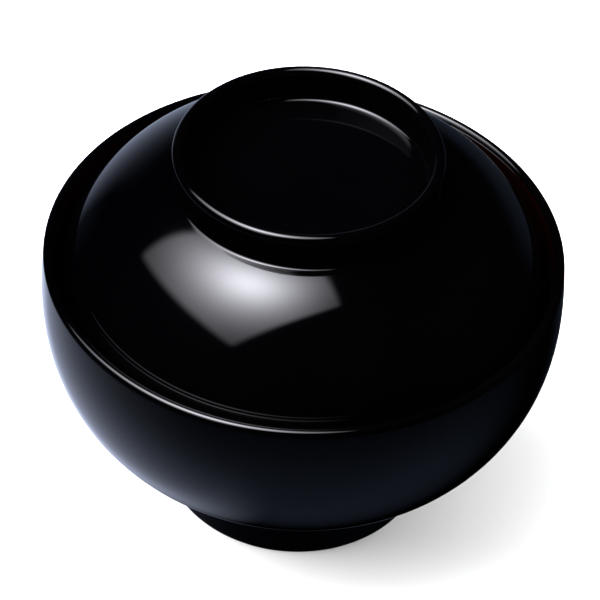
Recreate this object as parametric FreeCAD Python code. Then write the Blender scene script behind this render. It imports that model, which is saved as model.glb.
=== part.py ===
import FreeCAD, Part
import math
import os

# A covered lacquer bowl: a turned wooden bowl on a foot ring, and a turned lid that drops inside the
# bowl's mouth and is lifted by the ring on its top. Each is a wooden core under a black coat outside
# and a red coat inside. Millimetres, +Z up. The origin is on the axis of turning, at the plane that
# the foot ring stands on.
#
# Every outline is drawn in the half plane of positive X, with X as the radius. It runs with the wood
# on its left, so moving it to its left by a depth gives the same outline that far below the surface.
# Headings are the direction of travel in degrees: 0 is outwards and 90 is up.

# Driving dimensions
RIM_RADIUS = 61.0
RIM_HEIGHT = 74.0
COAT = 0.4
CURVE_SAMPLES = 12

# Foot ring
FOOT_RADIUS = 33.8
FOOT_HEIGHT = 15.4
FOOT_LEAN = 3.0
FOOT_WALL = 4.0
RECESS_DEPTH = 9.5
RECESS_CORNER = 2.0
TREAD_ROUND = 0.8
NECK_ROUND = 1.2

# Bowl wall
SHOULDER_HEADING = 27.0
BELLY = [(41.9, 21.6), (53.9, 33.3), (60.2, 46.6), (61.9, 61.0)]
RIM_HEADING = 97.0
LIP_RADIUS = 1.25
MOUTH_HEADING = 262.0
HOLLOW = [(57.5, 61.0), (55.3, 47.5), (49.2, 35.0), (36.0, 24.2), (18.0, 18.8)]
FLOOR_HEIGHT = 17.4

# Lid. The dome is an arc whose centre is off the axis. Its edge hangs just clear of the bowl's mouth.
LID_RADIUS = 57.65
LID_EDGE_ROUND = 1.0
DOME_ARC_RADIUS = 40.0
DOME_ARC_CENTRE = (19.7, 55.0)
UNDERSIDE = [(51.6, 76.0), (42.0, 85.4), (30.0, 90.3), (15.0, 91.6)]
UNDERSIDE_HEIGHT = 91.8

# Lifting ring on the lid
RING_RADIUS = 30.8
RING_HEIGHT = 102.3
RING_LEAN = 6.0
RING_DRAFT = 5.0
RING_LIP_RADIUS = 1.4
RING_ROUND = 0.9
DISH_HEIGHT = 94.4
DISH_ROUND = 1.2
DISH_HEADING = 181.5


def direction(heading):
    angle = math.radians(heading)
    return FreeCAD.Vector(math.cos(angle), 0, math.sin(angle))


def at(radius, height, heading=0.0, depth=0.0):
    """A point of an outline, moved by a depth into the wood."""
    return FreeCAD.Vector(radius, 0, height) + direction(heading + 90) * depth


def line(start, end):
    return Part.LineSegment(start, end).toShape()


def crossing(start, start_heading, end, end_heading):
    """Where the tangent lines at two points meet."""
    first = direction(start_heading)
    second = direction(end_heading)
    gap = end - start
    reach = (gap.x * second.z - gap.z * second.x) / (first.x * second.z - first.z * second.x)
    return start + first * reach


def corner(start, start_heading, end, end_heading):
    """A rounded corner that is tangent at both ends."""
    curve = Part.BezierCurve()
    curve.setPoles([start, crossing(start, start_heading, end, end_heading), end])
    return curve.toShape()


def around(centre, radius, first_heading, last_heading):
    """An arc to the left, between the points where the heading is the first and the last."""
    headings = (first_heading, (first_heading + last_heading) / 2, last_heading)
    start, middle, end = [centre + direction(heading - 90) * radius for heading in headings]
    return Part.Arc(start, middle, end).toShape()


def curve(points, first_heading, last_heading, depth):
    """A smooth curve through points, at a depth below the surface."""
    ends = {"InitialTangent": direction(first_heading), "FinalTangent": direction(last_heading)}
    surface = Part.BSplineCurve()
    surface.interpolate(Points=points, **ends)
    span = surface.LastParameter - surface.FirstParameter
    moved = []
    for sample in range(CURVE_SAMPLES + 1):
        parameter = surface.FirstParameter + span * sample / CURVE_SAMPLES
        along = surface.tangent(parameter)[0]
        left = FreeCAD.Vector(-along.z, 0, along.x)
        moved.append(surface.value(parameter) + left * depth)
    below = Part.BSplineCurve()
    below.interpolate(Points=moved, **ends)
    return below.toShape()


def first_point(edges):
    return edges[0].valueAt(edges[0].FirstParameter)


def last_point(edges):
    return edges[-1].valueAt(edges[-1].LastParameter)


def turned(*outlines):
    """The solid that closed outlines sweep round the axis."""
    edges = []
    for outline in outlines:
        edges.extend(outline)
    face = Part.Face(Part.Wire(Part.__sortEdges__(edges)))
    return face.revolve(FreeCAD.Vector(0, 0, 0), FreeCAD.Vector(0, 0, 1), 360)


def recess_radius():
    return FOOT_RADIUS - FOOT_WALL


def recess_outline(depth):
    """From the axis across the hollow under the foot, and down the inner side of the foot ring."""
    top_end = at(recess_radius() - RECESS_CORNER, RECESS_DEPTH, 0, depth)
    wall_start = at(recess_radius(), RECESS_DEPTH - RECESS_CORNER, -90, depth)
    wall_end = at(recess_radius(), TREAD_ROUND, -90, depth)
    tread_start = at(recess_radius() + TREAD_ROUND, 0, 0, depth)
    return [
        line(at(0, RECESS_DEPTH, 0, depth), top_end),
        corner(top_end, 0, wall_start, -90),
        line(wall_start, wall_end),
        corner(wall_end, -90, tread_start, 0),
    ]


def tread_outline(depth):
    """The flat face of the foot ring, which the bowl stands on."""
    tread_start = at(recess_radius() + TREAD_ROUND, 0, 0, depth)
    tread_end = at(FOOT_RADIUS - TREAD_ROUND, 0, 0, depth)
    return [line(tread_start, tread_end)]


def foot_side_radius(height):
    return FOOT_RADIUS - height * math.tan(math.radians(FOOT_LEAN))


def shoulder_start(depth):
    """Where the bowl's wall leaves the rounded corner above the foot ring."""
    step = direction(SHOULDER_HEADING) * NECK_ROUND
    radius = foot_side_radius(FOOT_HEIGHT) + step.x
    return at(radius, FOOT_HEIGHT + step.z, SHOULDER_HEADING, depth)


def foot_side(depth):
    """The outer side of the foot ring, up to the bowl's wall."""
    up = 90 + FOOT_LEAN
    side_top = FOOT_HEIGHT - NECK_ROUND
    tread_end = at(FOOT_RADIUS - TREAD_ROUND, 0, 0, depth)
    side_start = at(foot_side_radius(TREAD_ROUND), TREAD_ROUND, up, depth)
    side_end = at(foot_side_radius(side_top), side_top, up, depth)
    return [
        corner(tread_end, 0, side_start, up),
        line(side_start, side_end),
        corner(side_end, up, shoulder_start(depth), SHOULDER_HEADING),
    ]


def lip_centre():
    return at(RIM_RADIUS - LIP_RADIUS, RIM_HEIGHT - LIP_RADIUS)


def bowl_outside(depth):
    """From the tread up the foot ring and the wall, and over the lip."""
    wall = [shoulder_start(0)]
    wall.extend(at(radius, height) for radius, height in BELLY)
    wall.append(lip_centre() + direction(RIM_HEADING - 90) * LIP_RADIUS)
    edges = foot_side(depth)
    edges.append(curve(wall, SHOULDER_HEADING, RIM_HEADING, depth))
    edges.append(around(lip_centre(), LIP_RADIUS - depth, RIM_HEADING, MOUTH_HEADING))
    return edges


def bowl_inside(depth):
    """From the lip down the inner wall to the middle of the floor."""
    hollow = [lip_centre() + direction(MOUTH_HEADING - 90) * LIP_RADIUS]
    hollow.extend(at(radius, height) for radius, height in HOLLOW)
    hollow.append(at(0, FLOOR_HEIGHT))
    return [curve(hollow, MOUTH_HEADING, 180, depth)]


def dome_centre():
    return at(*DOME_ARC_CENTRE)


def lid_edge():
    """The centre of the lid's rounded edge, and the heading of the dome where it leaves it."""
    radius = LID_RADIUS - LID_EDGE_ROUND
    reach = radius - dome_centre().x
    rise = math.sqrt((DOME_ARC_RADIUS - LID_EDGE_ROUND) ** 2 - reach ** 2)
    heading = 90 + math.degrees(math.atan2(rise, reach))
    return at(radius, dome_centre().z + rise), heading


def lid_inside(depth):
    """From the axis under the dome, out and down to the lid's edge."""
    centre, heading = lid_edge()
    under = [at(0, UNDERSIDE_HEIGHT)]
    under.extend(at(radius, height) for radius, height in reversed(UNDERSIDE))
    under.append(centre + direction(heading + 90) * LID_EDGE_ROUND)
    return [curve(under, 0, heading - 180, depth)]


def dome_heading(radius):
    """The heading of the dome, on its way in and up, where it passes a radius."""
    return 180 - math.degrees(math.asin((radius - dome_centre().x) / DOME_ARC_RADIUS))


def dome_point(radius, depth):
    heading = dome_heading(radius)
    return dome_centre() + direction(heading - 90) * (DOME_ARC_RADIUS - depth)


def lid_outside(depth):
    """Round the lid's edge, up the dome, over the lifting ring and across the dish inside it."""
    centre, heading = lid_edge()
    ring_up = 90 - RING_LEAN
    ring_down = 270 - RING_DRAFT
    lip = at(RING_RADIUS - RING_LIP_RADIUS, RING_HEIGHT - RING_LIP_RADIUS)
    wall_top = lip + direction(ring_up - 90) * RING_LIP_RADIUS
    wall_foot = crossing(wall_top, ring_up, dome_point(RING_RADIUS, 0), dome_heading(RING_RADIUS))
    dome_end = wall_foot.x + RING_ROUND
    side_foot = wall_foot + direction(ring_up) * RING_ROUND
    side_start = at(side_foot.x, side_foot.z, ring_up, depth)
    side_end = at(wall_top.x, wall_top.z, ring_up, depth)
    dome = around(dome_centre(), DOME_ARC_RADIUS - depth, heading, dome_heading(dome_end))
    rim = around(lip, RING_LIP_RADIUS - depth, ring_up, ring_down)
    inner_top = lip + direction(ring_down - 90) * RING_LIP_RADIUS
    inner_foot = crossing(inner_top, ring_down, at(0, DISH_HEIGHT), 180)
    wall_end = inner_foot - direction(ring_down) * DISH_ROUND
    dish_start = at(wall_end.x, wall_end.z, ring_down, depth)
    dish_end = at(inner_foot.x - DISH_ROUND, DISH_HEIGHT, DISH_HEADING, depth)
    return [
        around(centre, LID_EDGE_ROUND - depth, heading - 180, heading),
        dome,
        corner(last_point([dome]), dome_heading(dome_end), side_start, ring_up),
        line(side_start, side_end),
        rim,
        line(last_point([rim]), dish_start),
        corner(dish_start, ring_down, dish_end, DISH_HEADING),
        line(dish_end, crossing(dish_end, DISH_HEADING, at(0, DISH_HEIGHT), 90)),
    ]


def ends_closed(surface, below):
    """The two short lines that join an outline to the same outline deeper in the wood."""
    return [
        line(first_point(surface), first_point(below)),
        line(last_point(surface), last_point(below)),
    ]


def coat(outline):
    """The lacquer between the surface and the wood."""
    surface = outline(0)
    below = outline(COAT)
    return turned(surface, below, ends_closed(surface, below))


def core(*outlines):
    """The wood under all the coats, from one end of its axis round to the other."""
    below = [outline(COAT) for outline in outlines]
    axis = line(last_point(below[-1]), first_point(below[0]))
    return turned(*below, [axis])


NODES = {
    "bowl_wood_core": core(recess_outline, tread_outline, bowl_outside, bowl_inside),
    "bowl_recess_lacquer": coat(recess_outline),
    "bowl_tread_lacquer": coat(tread_outline),
    "bowl_outer_lacquer": coat(bowl_outside),
    "bowl_inner_lacquer": coat(bowl_inside),
    "lid_wood_core": core(lid_inside, lid_outside),
    "lid_outer_lacquer": coat(lid_outside),
    "lid_inner_lacquer": coat(lid_inside),
}

os.makedirs("parts", exist_ok=True)
for name, shape in NODES.items():
    shape.exportStep("parts/" + name + ".step")
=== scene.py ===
import math

import bmesh
import bpy
import numpy as np
from mathutils import Matrix, Vector


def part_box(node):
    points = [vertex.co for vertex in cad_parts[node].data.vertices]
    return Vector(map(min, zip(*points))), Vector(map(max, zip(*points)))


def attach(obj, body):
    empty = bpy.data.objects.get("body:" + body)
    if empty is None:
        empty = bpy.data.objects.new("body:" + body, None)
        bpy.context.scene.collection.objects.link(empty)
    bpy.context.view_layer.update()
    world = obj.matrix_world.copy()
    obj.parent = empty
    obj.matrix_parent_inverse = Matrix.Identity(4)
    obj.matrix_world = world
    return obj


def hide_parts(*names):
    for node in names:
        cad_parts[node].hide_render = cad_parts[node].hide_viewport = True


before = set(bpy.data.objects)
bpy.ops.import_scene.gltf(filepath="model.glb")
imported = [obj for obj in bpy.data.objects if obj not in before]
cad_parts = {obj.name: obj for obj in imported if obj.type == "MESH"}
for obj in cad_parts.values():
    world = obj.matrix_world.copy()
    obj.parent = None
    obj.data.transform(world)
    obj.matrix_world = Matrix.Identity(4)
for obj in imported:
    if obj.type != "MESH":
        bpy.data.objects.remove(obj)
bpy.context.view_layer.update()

# A covered lacquer bowl. Every piece is turned: an outline in the half plane of positive X is carried
# round the Z axis. Outlines run with the wood on their left, so that moving one to its left by a depth
# gives the same outline that far under the surface. Metres, in the CAD frame. Headings are directions
# of travel along an outline in degrees: 0 is outwards and 90 is up.

MM = 0.001
TURN_STEPS = 224
CORE_STEPS = 96
SHARP_ANGLE = math.radians(40)
ON_THE_AXIS = 1e-7

# How many steps an outline takes along each kind of stretch
CORNER_STEPS = 8
EDGE_STEPS = 12
LIP_STEPS = 20
SIDE_STEPS = 12
SHORT_SIDE_STEPS = 6
WALL_STEPS = 96
HOLLOW_STEPS = 110
DOME_STEPS = 72
RING_SIDE_STEPS = 10
RING_INNER_STEPS = 8
DISH_CORNER_STEPS = 10
DISH_STEPS = 24

# ---------------------------------------------------------------- sizes, from the CAD nodes' boxes

outer_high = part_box("bowl_outer_lacquer")[1]
tread_low, tread_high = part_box("bowl_tread_lacquer")
recess_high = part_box("bowl_recess_lacquer")[1]
inner_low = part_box("bowl_inner_lacquer")[0]
lid_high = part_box("lid_outer_lacquer")[1]
lining_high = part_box("lid_inner_lacquer")[1]

COAT = tread_high.z - tread_low.z
BELLY_OVERHANG = 0.9 * MM
RIM_HEIGHT = outer_high.z
RIM_RADIUS = outer_high.x - BELLY_OVERHANG
TREAD_ROUND = 0.8 * MM
FOOT_RADIUS = tread_high.x + TREAD_ROUND
RECESS_RADIUS = recess_high.x - TREAD_ROUND
RECESS_DEPTH = recess_high.z - COAT
FLOOR_HEIGHT = inner_low.z + COAT
LID_RADIUS = lid_high.x
RING_HEIGHT = lid_high.z
UNDERSIDE_HEIGHT = lining_high.z - COAT

# Foot ring and wall. Points are radius and height in millimetres.
FOOT_HEIGHT = 15.4 * MM
FOOT_LEAN = 3.0
RECESS_CORNER = 2.0 * MM
NECK_ROUND = 1.2 * MM
SHOULDER_HEADING = 27.0
BELLY = [(41.9, 21.6), (53.9, 33.3), (60.2, 46.6), (61.9, 61.0)]
RIM_HEADING = 97.0
LIP_RADIUS = 1.25 * MM
MOUTH_HEADING = 262.0
HOLLOW = [(57.5, 61.0), (55.3, 47.5), (49.2, 35.0), (36.0, 24.2), (18.0, 18.8)]

# Lid
LID_EDGE_ROUND = 1.0 * MM
DOME_ARC_RADIUS = 40.0 * MM
DOME_ARC_CENTRE = (19.7, 55.0)
UNDERSIDE = [(51.6, 76.0), (42.0, 85.4), (30.0, 90.3), (15.0, 91.6)]
RING_RADIUS = 30.8 * MM
RING_LEAN = 6.0
RING_DRAFT = 5.0
RING_LIP_RADIUS = 1.4 * MM
RING_ROUND = 0.9 * MM
DISH_HEIGHT = 94.4 * MM
DISH_ROUND = 1.2 * MM
DISH_HEADING = 181.5


# ---------------------------------------------------------------- outlines

def direction(heading):
    angle = math.radians(heading)
    return np.array([math.cos(angle), math.sin(angle)])


def at(radius, height, heading=0.0, depth=0.0):
    """A point of an outline, moved by a depth into the wood."""
    return np.array([radius, height]) + direction(heading + 90) * depth


def line(start, end, steps):
    return [start + (end - start) * step / steps for step in range(steps + 1)]


def crossing(start, start_heading, end, end_heading):
    """Where the tangent lines at two points meet."""
    first = direction(start_heading)
    second = direction(end_heading)
    gap = end - start
    reach = (gap[0] * second[1] - gap[1] * second[0]) / (first[0] * second[1] - first[1] * second[0])
    return start + first * reach


def corner(start, start_heading, end, end_heading, steps=CORNER_STEPS):
    """A rounded corner that is tangent at both ends."""
    middle = crossing(start, start_heading, end, end_heading)
    points = []
    for step in range(steps + 1):
        t = step / steps
        points.append(start * (1 - t) ** 2 + middle * 2 * t * (1 - t) + end * t ** 2)
    return points


def around(centre, radius, first_heading, last_heading, steps):
    """An arc to the left, between the points where the heading is the first and the last."""
    headings = np.linspace(first_heading, last_heading, steps + 1)
    return [centre + direction(heading - 90) * radius for heading in headings]


def curve(points, first_heading, last_heading, depth, steps):
    """A smooth curve through points with no jump in its bend, at a depth below the surface."""
    points = np.array(points)
    chords = np.linalg.norm(np.diff(points, axis=0), axis=1)
    knots = np.concatenate([[0.0], np.cumsum(chords)])
    count = len(points)
    matrix = np.zeros((count, count))
    wanted = np.zeros((count, 2))
    matrix[0, 0] = matrix[-1, -1] = 1.0
    wanted[0] = direction(first_heading)
    wanted[-1] = direction(last_heading)
    for i in range(1, count - 1):
        before, after = chords[i - 1], chords[i]
        matrix[i, i - 1:i + 2] = after, 2 * (before + after), before
        rise_before = (points[i] - points[i - 1]) / before
        rise_after = (points[i + 1] - points[i]) / after
        wanted[i] = 3 * (after * rise_before + before * rise_after)
    slopes = np.linalg.solve(matrix, wanted)
    result = []
    for distance in np.linspace(0, knots[-1], steps + 1):
        i = min(int(np.searchsorted(knots, distance, side="right")) - 1, count - 2)
        span = chords[i]
        t = (distance - knots[i]) / span
        place = (points[i] * (2 * t ** 3 - 3 * t ** 2 + 1) + slopes[i] * span * (t ** 3 - 2 * t ** 2 + t)
                 + points[i + 1] * (3 * t ** 2 - 2 * t ** 3) + slopes[i + 1] * span * (t ** 3 - t ** 2))
        along = (points[i] * (6 * t ** 2 - 6 * t) / span + slopes[i] * (3 * t ** 2 - 4 * t + 1)
                 + points[i + 1] * (6 * t - 6 * t ** 2) / span + slopes[i + 1] * (3 * t ** 2 - 2 * t))
        along /= np.linalg.norm(along)
        result.append(place + np.array([-along[1], along[0]]) * depth)
    return result


def joined(*stretches):
    """One outline from stretches that meet end to end."""
    outline = list(stretches[0])
    for stretch in stretches[1:]:
        outline.extend(stretch[1:])
    return outline


# ---------------------------------------------------------------- the bowl's outlines

def recess_outline(depth):
    """From the axis across the hollow under the foot, and down the inner side of the foot ring."""
    top_end = at(RECESS_RADIUS - RECESS_CORNER, RECESS_DEPTH, 0, depth)
    wall_start = at(RECESS_RADIUS, RECESS_DEPTH - RECESS_CORNER, -90, depth)
    wall_end = at(RECESS_RADIUS, TREAD_ROUND, -90, depth)
    tread_start = at(RECESS_RADIUS + TREAD_ROUND, 0, 0, depth)
    return joined(
        line(at(0, RECESS_DEPTH, 0, depth), top_end, SIDE_STEPS),
        corner(top_end, 0, wall_start, -90),
        line(wall_start, wall_end, SHORT_SIDE_STEPS),
        corner(wall_end, -90, tread_start, 0),
    )


def tread_outline(depth):
    """The flat face of the foot ring, which the bowl stands on."""
    tread_start = at(RECESS_RADIUS + TREAD_ROUND, 0, 0, depth)
    tread_end = at(FOOT_RADIUS - TREAD_ROUND, 0, 0, depth)
    return line(tread_start, tread_end, SHORT_SIDE_STEPS)


def foot_side_radius(height):
    return FOOT_RADIUS - height * math.tan(math.radians(FOOT_LEAN))


def shoulder_start(depth):
    """Where the bowl's wall leaves the rounded corner above the foot ring."""
    step = direction(SHOULDER_HEADING) * NECK_ROUND
    return at(foot_side_radius(FOOT_HEIGHT) + step[0], FOOT_HEIGHT + step[1], SHOULDER_HEADING, depth)


def foot_side(depth):
    """The outer side of the foot ring, up to the bowl's wall."""
    up = 90 + FOOT_LEAN
    side_top = FOOT_HEIGHT - NECK_ROUND
    tread_end = at(FOOT_RADIUS - TREAD_ROUND, 0, 0, depth)
    side_start = at(foot_side_radius(TREAD_ROUND), TREAD_ROUND, up, depth)
    side_end = at(foot_side_radius(side_top), side_top, up, depth)
    return joined(
        corner(tread_end, 0, side_start, up),
        line(side_start, side_end, SIDE_STEPS),
        corner(side_end, up, shoulder_start(depth), SHOULDER_HEADING),
    )


def lip_centre():
    return at(RIM_RADIUS - LIP_RADIUS, RIM_HEIGHT - LIP_RADIUS)


def bowl_outside(depth):
    """From the tread up the foot ring and the wall, and over the lip."""
    wall = [shoulder_start(0)]
    wall.extend(at(radius * MM, height * MM) for radius, height in BELLY)
    wall.append(lip_centre() + direction(RIM_HEADING - 90) * LIP_RADIUS)
    return joined(
        foot_side(depth),
        curve(wall, SHOULDER_HEADING, RIM_HEADING, depth, WALL_STEPS),
        around(lip_centre(), LIP_RADIUS - depth, RIM_HEADING, MOUTH_HEADING, LIP_STEPS),
    )


def bowl_inside(depth):
    """From the lip down the inner wall to the middle of the floor."""
    hollow = [lip_centre() + direction(MOUTH_HEADING - 90) * LIP_RADIUS]
    hollow.extend(at(radius * MM, height * MM) for radius, height in HOLLOW)
    hollow.append(at(0, FLOOR_HEIGHT))
    return curve(hollow, MOUTH_HEADING, 180, depth, HOLLOW_STEPS)


# ---------------------------------------------------------------- the lid's outlines

def dome_centre():
    return at(DOME_ARC_CENTRE[0] * MM, DOME_ARC_CENTRE[1] * MM)


def lid_edge():
    """The centre of the lid's rounded edge, and the heading of the dome where it leaves it."""
    radius = LID_RADIUS - LID_EDGE_ROUND
    reach = radius - dome_centre()[0]
    rise = math.sqrt((DOME_ARC_RADIUS - LID_EDGE_ROUND) ** 2 - reach ** 2)
    heading = 90 + math.degrees(math.atan2(rise, reach))
    return at(radius, dome_centre()[1] + rise), heading


def lid_inside(depth):
    """From the axis under the dome, out and down to the lid's edge."""
    centre, heading = lid_edge()
    under = [at(0, UNDERSIDE_HEIGHT)]
    under.extend(at(radius * MM, height * MM) for radius, height in reversed(UNDERSIDE))
    under.append(centre + direction(heading + 90) * LID_EDGE_ROUND)
    return curve(under, 0, heading - 180, depth, WALL_STEPS)


def dome_heading(radius):
    """The heading of the dome, on its way in and up, where it passes a radius."""
    return 180 - math.degrees(math.asin((radius - dome_centre()[0]) / DOME_ARC_RADIUS))


def dome_point(radius):
    return dome_centre() + direction(dome_heading(radius) - 90) * DOME_ARC_RADIUS


def lid_outside(depth):
    """Round the lid's edge, up the dome, over the lifting ring and across the dish inside it."""
    centre, heading = lid_edge()
    ring_up = 90 - RING_LEAN
    ring_down = 270 - RING_DRAFT
    lip = at(RING_RADIUS - RING_LIP_RADIUS, RING_HEIGHT - RING_LIP_RADIUS)
    wall_top = lip + direction(ring_up - 90) * RING_LIP_RADIUS
    wall_foot = crossing(wall_top, ring_up, dome_point(RING_RADIUS), dome_heading(RING_RADIUS))
    dome_end = wall_foot[0] + RING_ROUND
    side_foot = wall_foot + direction(ring_up) * RING_ROUND
    side_start = at(side_foot[0], side_foot[1], ring_up, depth)
    side_end = at(wall_top[0], wall_top[1], ring_up, depth)
    dome = around(dome_centre(), DOME_ARC_RADIUS - depth, heading, dome_heading(dome_end), DOME_STEPS)
    rim = around(lip, RING_LIP_RADIUS - depth, ring_up, ring_down, LIP_STEPS)
    inner_top = lip + direction(ring_down - 90) * RING_LIP_RADIUS
    inner_foot = crossing(inner_top, ring_down, at(0, DISH_HEIGHT), 180)
    wall_end = inner_foot - direction(ring_down) * DISH_ROUND
    dish_start = at(wall_end[0], wall_end[1], ring_down, depth)
    dish_end = at(inner_foot[0] - DISH_ROUND, DISH_HEIGHT, DISH_HEADING, depth)
    middle = crossing(dish_end, DISH_HEADING, at(0, DISH_HEIGHT), 90)
    return joined(
        around(centre, LID_EDGE_ROUND - depth, heading - 180, heading, EDGE_STEPS),
        dome,
        corner(dome[-1], dome_heading(dome_end), side_start, ring_up),
        line(side_start, side_end, RING_SIDE_STEPS),
        rim,
        line(rim[-1], dish_start, RING_INNER_STEPS),
        corner(dish_start, ring_down, dish_end, DISH_HEADING, DISH_CORNER_STEPS),
        line(dish_end, middle, DISH_STEPS),
    )


# ---------------------------------------------------------------- turned meshes

def turned(name, loop, steps):
    """A closed mesh from a closed loop of outline points carried round the axis."""
    mesh = bmesh.new()
    rings = []
    for radius, height in loop:
        if radius < ON_THE_AXIS:
            rings.append([mesh.verts.new((0, 0, height))])
            continue
        ring = []
        for step in range(steps):
            angle = 2 * math.pi * step / steps
            ring.append(mesh.verts.new((radius * math.cos(angle), radius * math.sin(angle), height)))
        rings.append(ring)
    for first, second in zip(rings, rings[1:] + rings[:1]):
        for step in range(steps):
            after = (step + 1) % steps
            if len(first) > 1 and len(second) > 1:
                mesh.faces.new((first[step], first[after], second[after], second[step]))
            elif len(first) > 1:
                mesh.faces.new((first[step], first[after], second[0]))
            elif len(second) > 1:
                mesh.faces.new((first[0], second[after], second[step]))
    for face in mesh.faces:
        face.smooth = True
    for edge in mesh.edges:
        edge.smooth = edge.calc_face_angle(0) < SHARP_ANGLE
    data = bpy.data.meshes.new(name)
    mesh.to_mesh(data)
    mesh.free()
    made = bpy.data.objects.new(name, data)
    bpy.context.scene.collection.objects.link(made)
    return made


def coat_loop(outline):
    """The lacquer between the surface and the wood."""
    return outline(0) + outline(COAT)[::-1]


def core_loop(*outlines):
    """The wood under all the coats."""
    return joined(*[outline(COAT) for outline in outlines])


# ---------------------------------------------------------------- materials

# Lacquer. The faint shines are shares of the full one. They are painted shade: they dim the lacquer's
# reflections in the recess under the foot, in the lid's dish, at the lid's edge and on the foot ring.
FULL_SHINE = 0.5
SHADE_SHINE = 0.1
DEEP_SHADE_SHINE = 0.08
SHADE_EDGE = 0.3 * MM
# Within this radius the lid's dish gets painted shade.
DISH_SHADE_WITHIN = 25.8 * MM
BLACK_ROUGHNESS = 0.06
BLACK_THIN = (0.0003, 0.0003, 0.0004, 1)
BLACK_THICK = (0.0001, 0.0001, 0.0002, 1)
RED_ROUGHNESS = 0.05
RED_THIN = (0.0019, 0.0003, 0.0002, 1)
RED_THICK = (0.0012, 0.0002, 0.0002, 1)

# The scale of each pattern, the part of its range that is used, and how far it changes things
CLOUD_SCALE, CLOUD_DETAIL = 18.0, 2.0
CLOUD_LOW, CLOUD_HIGH = 0.35, 0.65
GLOSS_SCALE, GLOSS_DETAIL = 60.0, 3.0
GLOSS_LOW, GLOSS_HIGH = 0.3, 0.7
GLOSS_LEAST, GLOSS_MOST = 0.8, 1.2
GRAIN_SCALE, GRAIN_DETAIL = 900.0, 2.0
RUBBED_HEIGHT = 1.2 * MM
RUBBED_ROUGHNESS = 0.2
WAVE_SCALE, WAVE_DETAIL = 45.0, 1.0
WAVE_STRENGTH, WAVE_DEPTH = 0.1, 0.02 * MM
LACQUER_IOR = 1.5

# Wood
WOOD_PALE = (0.62, 0.44, 0.27, 1)
WOOD_DARK = (0.40, 0.25, 0.13, 1)
GROWTH_SCALE, GROWTH_DISTORTION, GROWTH_DETAIL = 60.0, 3.0, 2.0
FIBRE_SCALE, FIBRE_DETAIL = 400.0, 4.0
FIBRE_LOW, FIBRE_HIGH = 0.3, 0.7
GROWTH_SHARE, FIBRE_SHARE = 0.7, 0.3
WOOD_SMOOTHEST, WOOD_ROUGHEST = 0.5, 0.7
FIBRE_STRENGTH, FIBRE_DEPTH = 0.3, 0.1 * MM


def new_material(name):
    material = bpy.data.materials.new(name)
    material.use_nodes = True
    tree = material.node_tree
    tree.nodes.clear()
    output = tree.nodes.new("ShaderNodeOutputMaterial")
    shader = tree.nodes.new("ShaderNodeBsdfPrincipled")
    tree.links.new(shader.outputs["BSDF"], output.inputs["Surface"])
    return material, tree, shader


def add(tree, kind, **settings):
    """A node with its properties and the values of its sockets set by name."""
    node = tree.nodes.new("ShaderNode" + kind)
    for key, value in settings.items():
        if hasattr(node, key):
            setattr(node, key, value)
        else:
            node.inputs[key.replace("_", " ")].default_value = value
    return node


def noise(tree, place, scale, detail):
    node = add(tree, "TexNoise", Scale=scale, Detail=detail)
    tree.links.new(place, node.inputs["Vector"])
    return node.outputs["Fac"]


def ramp(tree, value, low, high, low_result, high_result):
    """A value carried from one range to another."""
    node = tree.nodes.new("ShaderNodeMapRange")
    node.inputs["From Min"].default_value = low
    node.inputs["From Max"].default_value = high
    node.inputs["To Min"].default_value = low_result
    node.inputs["To Max"].default_value = high_result
    tree.links.new(value, node.inputs["Value"])
    return node.outputs["Result"]


def smooth_ramp(tree, value, low, high):
    """A factor that eases from 0 to 1 between two values."""
    node = tree.nodes.new("ShaderNodeMapRange")
    node.interpolation_type = "SMOOTHSTEP"
    node.inputs["From Min"].default_value = low
    node.inputs["From Max"].default_value = high
    tree.links.new(value, node.inputs["Value"])
    return node.outputs["Result"]


# The colour sockets of a Mix node, whose names its other sockets share
MIX_FIRST, MIX_SECOND, MIX_RESULT = 6, 7, 2


def mixed(tree, factor, first, second):
    """A colour between two, by a factor."""
    node = tree.nodes.new("ShaderNodeMix")
    node.data_type = "RGBA"
    tree.links.new(factor, node.inputs["Factor"])
    for socket, value in ((node.inputs[MIX_FIRST], first), (node.inputs[MIX_SECOND], second)):
        if isinstance(value, tuple):
            socket.default_value = value
        else:
            tree.links.new(value, socket)
    return node.outputs[MIX_RESULT]


def math_node(tree, operation, first, second):
    node = add(tree, "Math", operation=operation)
    for socket, value in zip(node.inputs, (first, second)):
        if isinstance(value, (int, float)):
            socket.default_value = value
        else:
            tree.links.new(value, socket)
    return node.outputs["Value"]


def product(tree, first, *rest):
    for factor in rest:
        first = math_node(tree, "MULTIPLY", first, factor)
    return first


def levelled(tree, place):
    """A vector without its height."""
    flat = add(tree, "VectorMath", operation="MULTIPLY")
    flat.inputs[1].default_value = (1, 1, 0)
    tree.links.new(place, flat.inputs[0])
    return flat.outputs["Vector"]


def distance_from_axis(tree, place):
    length = add(tree, "VectorMath", operation="LENGTH")
    tree.links.new(levelled(tree, place), length.inputs[0])
    return length.outputs["Value"]


def bump(tree, shader, height, strength, distance):
    node = add(tree, "Bump", Strength=strength, Distance=distance)
    tree.links.new(height, node.inputs["Height"])
    tree.links.new(node.outputs["Normal"], shader.inputs["Normal"])


def shade_change_at(tree, value, edge, below, above):
    """A share that changes where a value passes an edge, from one side's share to the other's. It draws
    the edges of the painted shade.
    """
    return ramp(tree, value, edge - SHADE_EDGE, edge + SHADE_EDGE, below, above)


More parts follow.
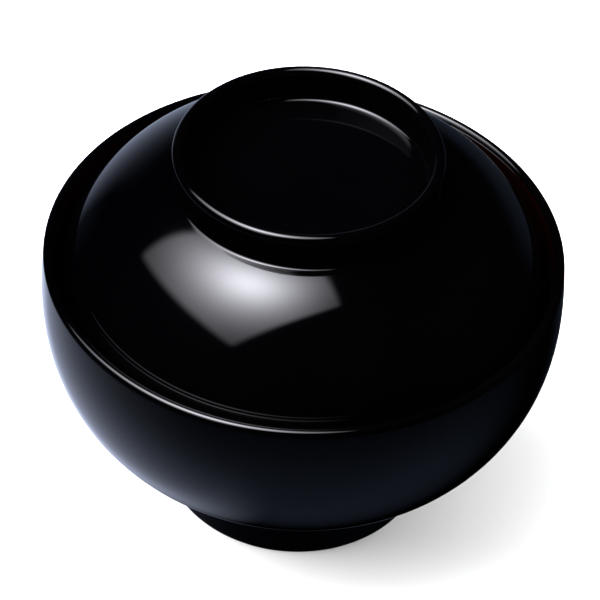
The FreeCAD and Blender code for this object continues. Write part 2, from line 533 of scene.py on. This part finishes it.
def lacquer(name, thin, thick, roughness, shade_within=None, shade_beyond=None, shade_below=None):
    """Polished lacquer: a deep colour that varies with the coat, a mirror gloss and faint waviness. It is
    rubbed on the tread. Its shine is lowered within one radius, beyond another and below a height, which
    is painted shade."""
    material, tree, shader = new_material(name)
    place = tree.nodes.new("ShaderNodeTexCoord").outputs["Object"]
    clouds = noise(tree, place, CLOUD_SCALE, CLOUD_DETAIL)
    colour = mixed(tree, ramp(tree, clouds, CLOUD_LOW, CLOUD_HIGH, 0, 1), thin, thick)
    tree.links.new(colour, shader.inputs["Base Color"])
    haze = noise(tree, place, GLOSS_SCALE, GLOSS_DETAIL)
    gloss = ramp(tree, haze, GLOSS_LOW, GLOSS_HIGH, roughness * GLOSS_LEAST, roughness * GLOSS_MOST)
    height = tree.nodes.new("ShaderNodeSeparateXYZ")
    tree.links.new(place, height.inputs["Vector"])
    rubbed = ramp(tree, height.outputs["Z"], 0.0, RUBBED_HEIGHT, RUBBED_ROUGHNESS, 0.0)
    grain = noise(tree, place, GRAIN_SCALE, GRAIN_DETAIL)
    worn = product(tree, rubbed, grain)
    tree.links.new(math_node(tree, "ADD", gloss, worn), shader.inputs["Roughness"])
    shade_shares = []
    # Painted shade: a lower shine within a radius, beyond a radius and below a height darkens these
    # places.
    if shade_within is not None:
        shade_shares.append(shade_change_at(tree, distance_from_axis(tree, place), shade_within, SHADE_SHINE, 1.0))
    if shade_beyond is not None:
        shade_shares.append(shade_change_at(tree, distance_from_axis(tree, place), shade_beyond, 1.0, DEEP_SHADE_SHINE))
    if shade_below is not None:
        shade_shares.append(shade_change_at(tree, height.outputs["Z"], shade_below, DEEP_SHADE_SHINE, 1.0))
    shine = shader.inputs["Specular IOR Level"]
    shine.default_value = FULL_SHINE
    if shade_shares:
        tree.links.new(product(tree, *shade_shares, FULL_SHINE), shine)
    waves = noise(tree, place, WAVE_SCALE, WAVE_DETAIL)
    bump(tree, shader, waves, WAVE_STRENGTH, WAVE_DEPTH)
    shader.inputs["IOR"].default_value = LACQUER_IOR
    return material


def wood(name):
    """Pale turned wood with growth rings across the blank."""
    material, tree, shader = new_material(name)
    place = tree.nodes.new("ShaderNodeTexCoord").outputs["Object"]
    rings = add(tree, "TexWave", wave_type="RINGS", rings_direction="X", Scale=GROWTH_SCALE,
                Distortion=GROWTH_DISTORTION, Detail=GROWTH_DETAIL)
    tree.links.new(place, rings.inputs["Vector"])
    fibres = noise(tree, place, FIBRE_SCALE, FIBRE_DETAIL)
    shade = math_node(tree, "ADD", product(tree, rings.outputs["Fac"], GROWTH_SHARE),
                      product(tree, fibres, FIBRE_SHARE))
    tree.links.new(mixed(tree, shade, WOOD_PALE, WOOD_DARK), shader.inputs["Base Color"])
    rough = ramp(tree, fibres, FIBRE_LOW, FIBRE_HIGH, WOOD_SMOOTHEST, WOOD_ROUGHEST)
    tree.links.new(rough, shader.inputs["Roughness"])
    bump(tree, shader, fibres, FIBRE_STRENGTH, FIBRE_DEPTH)
    return material


# Painted shade: the recess under the foot and the foot ring below the foot's top shine less.
bowl_black = lacquer("bowl_black_lacquer", BLACK_THIN, BLACK_THICK, BLACK_ROUGHNESS,
                     shade_within=RECESS_RADIUS, shade_below=FOOT_HEIGHT)
# Painted shade: the lid's dish and its edge shine less.
lid_black = lacquer("lid_black_lacquer", BLACK_THIN, BLACK_THICK, BLACK_ROUGHNESS,
                    shade_within=DISH_SHADE_WITHIN, shade_beyond=LID_RADIUS - LID_EDGE_ROUND)
red_lacquer = lacquer("red_lacquer", RED_THIN, RED_THICK, RED_ROUGHNESS)
turned_wood = wood("turned_wood")


# ---------------------------------------------------------------- pieces

def piece(name, body, slot, material, loop, steps, *nodes):
    made = turned(name, loop, steps)
    made.data.materials.append(material)
    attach(made, body)
    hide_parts(*nodes)


piece("bowl_wood", "bowl", "turned_wood", turned_wood,
      core_loop(recess_outline, tread_outline, bowl_outside, bowl_inside), CORE_STEPS, "bowl_wood_core")
piece("bowl_black_recess", "bowl", "black_lacquer", bowl_black,
      coat_loop(recess_outline), TURN_STEPS, "bowl_recess_lacquer")
piece("bowl_black_tread", "bowl", "black_lacquer", bowl_black,
      coat_loop(tread_outline), TURN_STEPS, "bowl_tread_lacquer")
piece("bowl_black_outside", "bowl", "black_lacquer", bowl_black,
      coat_loop(bowl_outside), TURN_STEPS, "bowl_outer_lacquer")
piece("bowl_red_inside", "bowl", "red_lacquer", red_lacquer,
      coat_loop(bowl_inside), TURN_STEPS, "bowl_inner_lacquer")
piece("lid_wood", "lid", "turned_wood", turned_wood,
      core_loop(lid_inside, lid_outside), CORE_STEPS, "lid_wood_core")
piece("lid_black_outside", "lid", "black_lacquer", lid_black,
      coat_loop(lid_outside), TURN_STEPS, "lid_outer_lacquer")
piece("lid_red_inside", "lid", "red_lacquer", red_lacquer,
      coat_loop(lid_inside), TURN_STEPS, "lid_inner_lacquer")


# ---------------------------------------------------------------- studio

FLOOR_HALF = 8.0
FLOOR_COLOUR = (0.80, 0.80, 0.80, 1)
BACKDROP_RADIUS = 7.5
BACKDROP_HEIGHT = 4.0
BACKDROP_THICKNESS = 0.1

SOFTBOX_CENTRE = Vector((-0.2616, -0.0015, 0.9983))
SOFTBOX_ACROSS = Vector((0.345, -0.923, 0.170))
SOFTBOX_UP = Vector((0.733, 0.378, 0.565))
SOFTBOX_WIDTH, SOFTBOX_HEIGHT = 1.05, 1.13
SOFTBOX_RADIANCE = 21.5
SOFTBOX_CORE = 0.331
SOFTBOX_FALLOFF = 1.85
SOFTBOX_EDGE = 0.08
SOFTBOX_COLOUR = (0.98, 0.98, 1.07, 1)

# The surroundings that the lacquer mirrors, as parts of a direction of length 1: +X is the bowl's right,
# +Y its back and +Z up. Each pair is where a glow starts and where it is full.
TABLE_FAR, TABLE_NEAR = -0.40, -0.84
FRONT_BACK_END, FRONT_END = 0.37, -0.43
FRONT_LIGHT = (0.066, 0.087, 0.131)
LEFT_RIGHT_END, LEFT_END = -0.06, -0.31
LEFT_FRONT_END, LEFT_BACK_END = -0.76, 1.24
LEFT_LIGHT = (1.19, 1.32, 1.74)
PANEL_WAY = (-0.259, 0.966, 0.0)
PANEL_SIDE, PANEL_MIDDLE = 0.88, 1.02
PANEL_TOP, PANEL_FULL = 0.40, -0.36
PANEL_FOOT_START, PANEL_FOOT_END = -0.88, -0.78
PANEL_LIGHT = (0.337, 0.387, 0.526)
HAZE_START, HAZE_END = 0.5, 0.8
HAZE_TOP, HAZE_BOTTOM = 0.1, -0.2
HAZE_LIGHT = (0.019, 0.025, 0.038)


def emission(tree, output):
    """A shader that gives off light, wired to an output."""
    shader = tree.nodes.new("ShaderNodeEmission")
    tree.links.new(shader.outputs["Emission"], output.inputs["Surface"])
    return shader


def studio_floor():
    """A pale floor that isn't seen in the lacquer."""
    half = FLOOR_HALF
    data = bpy.data.meshes.new("studio_floor")
    corners = [(-half, -half, 0), (half, -half, 0), (half, half, 0), (-half, half, 0)]
    data.from_pydata(corners, [], [(0, 1, 2, 3)])
    floor = bpy.data.objects.new("studio_floor", data)
    bpy.context.scene.collection.objects.link(floor)
    material, tree, shader = new_material("studio_paper")
    shader.inputs["Base Color"].default_value = FLOOR_COLOUR
    shader.inputs["Roughness"].default_value = 1.0
    shader.inputs["Specular IOR Level"].default_value = 0.0
    data.materials.append(material)
    floor.visible_glossy = False


def studio_backdrop():
    """A white wall all round, far off, that only the camera sees."""
    near, far = BACKDROP_RADIUS, BACKDROP_RADIUS + BACKDROP_THICKNESS
    section = [(near, 0), (far, 0), (far, BACKDROP_HEIGHT), (near, BACKDROP_HEIGHT)]
    wall = turned("studio_backdrop", section, CORE_STEPS)
    material = bpy.data.materials.new("studio_white")
    material.use_nodes = True
    tree = material.node_tree
    tree.nodes.clear()
    emission(tree, tree.nodes.new("ShaderNodeOutputMaterial"))
    wall.data.materials.append(material)
    wall.visible_glossy = False
    wall.visible_diffuse = False
    wall.visible_transmission = False
    wall.visible_shadow = False


def softbox(centre, across, up, width, height, radiance):
    """A rectangular lamp that faces down and is brightest in its middle."""
    x_axis = across.normalized()
    z_axis = x_axis.cross(up).normalized()
    if z_axis.z < 0:
        x_axis, z_axis = -x_axis, -z_axis
    y_axis = z_axis.cross(x_axis)
    light = bpy.data.lights.new("softbox", "AREA")
    light.shape = "RECTANGLE"
    light.size = width
    light.size_y = height
    light.energy = radiance * math.pi * width * height
    light.use_nodes = True
    tree = light.node_tree
    tree.nodes.clear()
    shader = emission(tree, tree.nodes.new("ShaderNodeOutputLight"))
    place = tree.nodes.new("ShaderNodeNewGeometry").outputs["Parametric"]
    offset = add(tree, "VectorMath", operation="SUBTRACT")
    offset.inputs[1].default_value = (0.5, 0.5, 0.0)
    tree.links.new(place, offset.inputs[0])
    scaled = add(tree, "VectorMath", operation="MULTIPLY")
    scaled.inputs[1].default_value = (width / SOFTBOX_CORE, height / SOFTBOX_CORE, 0.0)
    tree.links.new(offset.outputs["Vector"], scaled.inputs[0])
    squared = add(tree, "VectorMath", operation="DOT_PRODUCT")
    tree.links.new(scaled.outputs["Vector"], squared.inputs[0])
    tree.links.new(scaled.outputs["Vector"], squared.inputs[1])
    spread = math_node(tree, "ADD", squared.outputs["Value"], 1.0)
    strength = math_node(tree, "POWER", spread, -SOFTBOX_FALLOFF)
    sides = tree.nodes.new("ShaderNodeSeparateXYZ")
    tree.links.new(place, sides.inputs["Vector"])
    for side in (sides.outputs["X"], sides.outputs["Y"]):
        strength = product(tree, strength, smooth_ramp(tree, side, 0.0, SOFTBOX_EDGE),
                           smooth_ramp(tree, side, 1.0, 1.0 - SOFTBOX_EDGE))
    shader.inputs["Color"].default_value = SOFTBOX_COLOUR
    tree.links.new(strength, shader.inputs["Strength"])
    lamp = bpy.data.objects.new("softbox", light)
    bpy.context.scene.collection.objects.link(lamp)
    lamp.matrix_world = Matrix.Translation(centre) @ Matrix((x_axis, y_axis, z_axis)).transposed().to_4x4()


def lamp_light(name, azimuth, elevation, angle, strength):
    """A soft light from far away that lights the floor and isn't seen in the lacquer."""
    light = bpy.data.lights.new(name, "SUN")
    light.angle = math.radians(angle)
    light.energy = strength
    lamp = bpy.data.objects.new(name, light)
    bpy.context.scene.collection.objects.link(lamp)
    lamp.rotation_euler = (0, math.radians(90 - elevation), math.radians(azimuth))
    lamp.visible_glossy = False


def glow(tree, colour, factor):
    """A colour of light, scaled by a factor that varies round the studio."""
    node = add(tree, "VectorMath", operation="SCALE")
    node.inputs[0].default_value = colour
    tree.links.new(factor, node.inputs["Scale"])
    return node.outputs["Vector"]


def studio_world():
    """A dark studio, as the lacquer mirrors it. Pale panels stand low behind the bowl and to its left."""
    world = bpy.data.worlds.new("studio")
    bpy.context.scene.world = world
    world.use_nodes = True
    tree = world.node_tree
    tree.nodes.clear()
    output = tree.nodes.new("ShaderNodeOutputWorld")
    background = tree.nodes.new("ShaderNodeBackground")
    tree.links.new(background.outputs["Background"], output.inputs["Surface"])
    way = tree.nodes.new("ShaderNodeTexCoord").outputs["Generated"]
    split = tree.nodes.new("ShaderNodeSeparateXYZ")
    tree.links.new(way, split.inputs["Vector"])
    across, back, up = split.outputs

    table = smooth_ramp(tree, up, TABLE_FAR, TABLE_NEAR)
    front = product(tree, table, smooth_ramp(tree, back, FRONT_BACK_END, FRONT_END))
    left = product(tree, table, smooth_ramp(tree, across, LEFT_RIGHT_END, LEFT_END),
                   smooth_ramp(tree, back, LEFT_FRONT_END, LEFT_BACK_END))

    level = add(tree, "VectorMath", operation="NORMALIZE")
    tree.links.new(levelled(tree, way), level.inputs[0])
    towards = add(tree, "VectorMath", operation="DOT_PRODUCT")
    towards.inputs[1].default_value = PANEL_WAY
    tree.links.new(level.outputs["Vector"], towards.inputs[0])
    panel = product(tree, smooth_ramp(tree, towards.outputs["Value"], PANEL_SIDE, PANEL_MIDDLE),
                    smooth_ramp(tree, up, PANEL_TOP, PANEL_FULL),
                    smooth_ramp(tree, up, PANEL_FOOT_START, PANEL_FOOT_END))
    haze = product(tree, smooth_ramp(tree, back, HAZE_START, HAZE_END),
                   smooth_ramp(tree, up, HAZE_TOP, HAZE_BOTTOM))

    light = glow(tree, FRONT_LIGHT, front)
    for colour, factor in ((LEFT_LIGHT, left), (PANEL_LIGHT, panel), (HAZE_LIGHT, haze)):
        total = add(tree, "VectorMath", operation="ADD")
        tree.links.new(light, total.inputs[0])
        tree.links.new(glow(tree, colour, factor), total.inputs[1])
        light = total.outputs["Vector"]
    tree.links.new(light, background.inputs["Color"])


studio_floor()
studio_backdrop()
studio_world()
softbox(SOFTBOX_CENTRE, SOFTBOX_ACROSS, SOFTBOX_UP, SOFTBOX_WIDTH, SOFTBOX_HEIGHT, SOFTBOX_RADIANCE)
lamp_light("key", azimuth=170, elevation=40, angle=60, strength=10.0)
lamp_light("fill", azimuth=0, elevation=45, angle=100, strength=5.0)


# ---------------------------------------------------------------- camera

CAMERA_DISTANCE = 474.9 * MM
CAMERA_ELEVATION = math.radians(44.17)
CAMERA_ROLL = math.radians(2.77)
CAMERA_TARGET = Vector((-0.45 * MM, 0, 54.61 * MM))
CAMERA_LENS = 118.26
SENSOR_WIDTH = 36.0
NEAREST_SEEN = 0.01

camera_data = bpy.data.cameras.new("camera")
camera_data.lens = CAMERA_LENS
camera_data.sensor_width = SENSOR_WIDTH
camera_data.clip_start = NEAREST_SEEN
camera = bpy.data.objects.new("camera", camera_data)
bpy.context.scene.collection.objects.link(camera)
backwards = Vector((0, -math.cos(CAMERA_ELEVATION), math.sin(CAMERA_ELEVATION)))
facing = Matrix.Rotation(math.pi / 2 - CAMERA_ELEVATION, 4, "X")
rolled = Matrix.Rotation(CAMERA_ROLL, 4, "Z")
camera.matrix_world = Matrix.Translation(CAMERA_TARGET + backwards * CAMERA_DISTANCE) @ facing @ rolled
bpy.context.scene.camera = camera

bpy.context.scene.view_settings.view_transform = "Standard"
